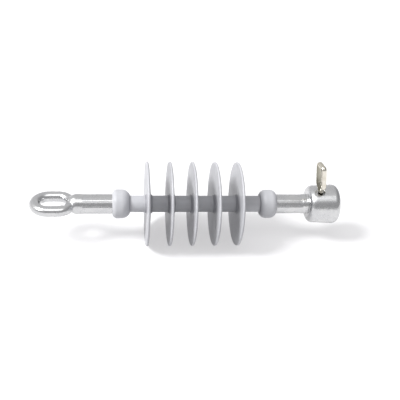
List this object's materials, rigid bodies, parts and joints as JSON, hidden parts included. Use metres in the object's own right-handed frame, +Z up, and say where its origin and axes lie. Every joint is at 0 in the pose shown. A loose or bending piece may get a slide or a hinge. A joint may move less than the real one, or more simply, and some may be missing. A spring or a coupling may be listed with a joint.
{
  "type": "long-rod suspension insulator",
  "caption": "Long-rod suspension insulator: a rubber-sheathed glass fibre rod with weather sheds, crimped between a steel eye and a ball socket that a split pin locks",
  "frame": {"origin": "the middle of the box's base: the floor point under the middle of the insulator, which lies on the rims of its sheds", "axes": "+X runs along the insulator from the eye to the socket, +Z is up, -Y is the side that faces the viewer"},
  "size_m": [0.44, 0.12, 0.135],
  "materials": {
    "galvanised_steel": "hot-dip galvanised, satin, faint spangle",
    "silicone_rubber": "moulded matte grey silicone rubber",
    "stainless_steel": "bright drawn stainless wire",
    "glass_fibre": "pultruded glass fibre and resin, ground",
    "o_ring_rubber": "moulded black rubber",
    "sealant": "cured silicone sealant"
  },
  "bodies": {
    "insulator": {"core_rod": "glass_fibre", "rubber_sheath": "silicone_rubber", "eye_end_collar": "silicone_rubber", "socket_end_collar": "silicone_rubber", "eye_fitting": "galvanised_steel", "socket_fitting": "galvanised_steel", "eye_end_o_ring": "o_ring_rubber", "socket_end_o_ring": "o_ring_rubber", "eye_end_sealant": "sealant", "socket_end_sealant": "sealant", "shed_1": "silicone_rubber", "shed_2": "silicone_rubber", "shed_3": "silicone_rubber", "shed_4": "silicone_rubber", "shed_5": "silicone_rubber"},
    "lock_pin": {"lock_pin": "stainless_steel"}
  },
  "joints": [
    {"name": "lock_pin_slide", "type": "slide", "parent": "insulator", "child": "lock_pin", "axis": [-0.0518, -0.2075, 0.9769], "range_m": [0, 0.028]}
  ]
}
